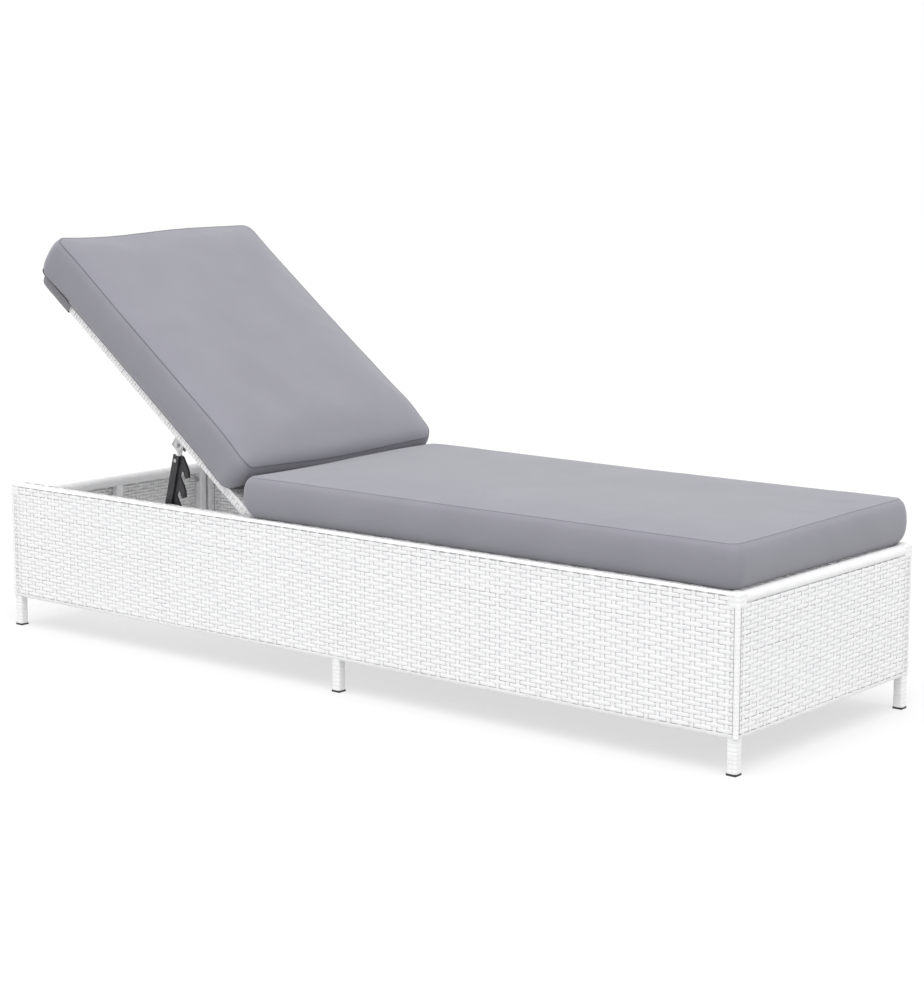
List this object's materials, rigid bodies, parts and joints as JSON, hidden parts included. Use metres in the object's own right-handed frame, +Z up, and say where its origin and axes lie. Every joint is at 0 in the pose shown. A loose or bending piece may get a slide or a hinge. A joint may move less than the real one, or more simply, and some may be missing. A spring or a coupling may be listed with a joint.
{
  "type": "reclining sun lounger",
  "caption": "Low rectangular woven sun lounger with a hinged back held by notched props, a flat seat cushion and a back cushion with a hood over the panel's end.",
  "frame": {"origin": "on the floor under the middle of the base", "axes": "+X towards the foot end, +Z up, +Y towards the far long side; the near long side is -Y"},
  "size_m": [1.95, 0.625, 0.8872],
  "materials": {
    "frame_tube": "satin powder coat",
    "wicker": "ribbed flat weaving strip",
    "cushion_cover": "fine plain weave",
    "hood_cover": "fine plain weave",
    "bar_plastic": "moulded",
    "arm_white": "semi-gloss coat",
    "rivet": "plain",
    "glide_plastic": "moulded",
    "bush_plastic": "moulded",
    "rod_steel": "satin powder coat",
    "fastener": "zinc plated"
  },
  "bodies": {
    "base": {"near_top_rail": "frame_tube", "near_bottom_rail": "frame_tube", "near_head_leg": "frame_tube", "near_foot_leg": "frame_tube", "near_mid_leg": "frame_tube", "near_mid_stile": "frame_tube", "near_rod_stile": "frame_tube", "near_side_wicker": "wicker", "near_rail_wrap": "wicker", "far_top_rail": "frame_tube", "far_bottom_rail": "frame_tube", "far_head_leg": "frame_tube", "far_foot_leg": "frame_tube", "far_mid_leg": "frame_tube", "far_mid_stile": "frame_tube", "far_rod_stile": "frame_tube", "far_side_wicker": "wicker", "far_rail_wrap": "wicker", "head_top_rail": "frame_tube", "head_bottom_rail": "frame_tube", "head_near_post": "frame_tube", "head_far_post": "frame_tube", "foot_top_rail": "frame_tube", "foot_bottom_rail": "frame_tube", "foot_near_post": "frame_tube", "foot_far_post": "frame_tube", "head_centre_post": "frame_tube", "hinge_crossbar": "frame_tube", "deck_crossbars": "frame_tube", "leg_glides": "glide_plastic", "hinge_bushes": "bush_plastic", "catch_rod": "rod_steel", "catch_rod_screws": "fastener", "corner_bolts": "fastener", "hinge_bolts": "fastener", "hinge_nuts": "fastener", "head_end_wicker": "wicker", "head_rail_wrap": "wicker", "foot_end_wicker": "wicker", "foot_rail_wrap": "wicker", "deck_wicker": "wicker"},
    "backrest": {"back_near_rail": "frame_tube", "back_far_rail": "frame_tube", "back_top_rail": "frame_tube", "back_bottom_rail": "frame_tube", "back_crossbars": "frame_tube", "prop_bolts": "fastener", "prop_nuts": "fastener", "prop_brackets": "fastener", "back_wicker": "wicker", "back_edge_wicker": "wicker"},
    "near_prop": {"near_prop_bar": "bar_plastic", "near_prop_arm": "arm_white", "near_prop_rivet": "rivet"},
    "far_prop": {"far_prop_bar": "bar_plastic", "far_prop_arm": "arm_white", "far_prop_rivet": "rivet"},
    "back_cushion": {"back_cushion": "cushion_cover", "cushion_hood": "hood_cover"},
    "seat_cushion": {"seat_cushion": "cushion_cover"}
  },
  "joints": [
    {"name": "recline", "type": "hinge", "parent": "base", "child": "backrest", "pos_m": [-0.245, 0, 0.318], "axis": [0, 1, 0], "range_deg": [-36.6, 0]},
    {"name": "near_prop_swing", "type": "hinge", "parent": "backrest", "child": "near_prop", "pos_m": [-0.46625, -0.2635, 0.45649], "axis": [0, 1, 0], "range_deg": [0, 81]},
    {"name": "far_prop_swing", "type": "hinge", "parent": "backrest", "child": "far_prop", "pos_m": [-0.46625, 0.2635, 0.45649], "axis": [0, 1, 0], "range_deg": [0, 81]},
    {"name": "back_cushion_slide", "type": "slide", "parent": "backrest", "child": "back_cushion", "axis": [-0.7976, 0, 0.6032], "range_m": [-0.061, 0]},
    {"name": "seat_cushion_lift", "type": "slide", "parent": "base", "child": "seat_cushion", "axis": [0, 0, 1], "range_m": [0, 0.15]}
  ],
  "couplings": [
    {"joint": "near_prop_swing", "follows": "recline", "ratio": -2.2},
    {"joint": "far_prop_swing", "follows": "recline", "ratio": -2.2},
    {"joint": "back_cushion_slide", "follows": "recline", "m_per_rad": 0.0939}
  ]
}
